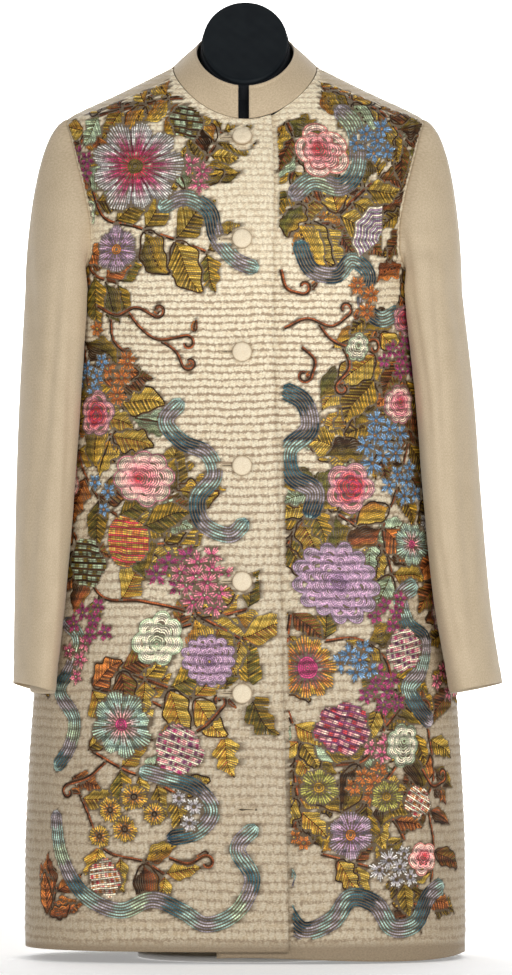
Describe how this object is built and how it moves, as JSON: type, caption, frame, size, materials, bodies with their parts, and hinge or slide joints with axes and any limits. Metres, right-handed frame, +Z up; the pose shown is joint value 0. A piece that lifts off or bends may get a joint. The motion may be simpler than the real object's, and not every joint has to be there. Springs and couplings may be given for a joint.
{
  "type": "evening coat on a dress form",
  "caption": "Knee-length A-line evening coat with ribbed embroidered fronts, plain sleeves, back and band collar, covered buttons, standing on a limbless display form",
  "frame": {"origin": "middle of the underside of the stand's base", "axes": "+Z up, the front of the coat faces -Y, and the wearer's left is +X"},
  "size_m": [0.5248, 0.2908, 1.0232],
  "materials": {
    "ribbed_cloth": "ribbed ivory and metallic cloth, embroidered",
    "plain_cloth": "plain cream wool and silk",
    "button_cloth": "buttons covered in cream cloth",
    "form_jersey": "black jersey over a hard shell",
    "cap_lacquer": "black neck cap",
    "stand_paint": "off-white painted steel"
  },
  "bodies": {
    "root": {"right_front": "ribbed_cloth", "left_front": "ribbed_cloth", "back": "plain_cloth", "collar": "plain_cloth", "right_sleeve": "plain_cloth", "left_sleeve": "plain_cloth", "button_1": "button_cloth", "button_2": "button_cloth", "button_3": "button_cloth", "button_4": "button_cloth", "button_5": "button_cloth", "button_6": "button_cloth", "form_torso": "form_jersey", "neck_cap": "cap_lacquer", "stand_pole": "stand_paint", "stand_base": "stand_paint"}
  },
  "joints": []
}
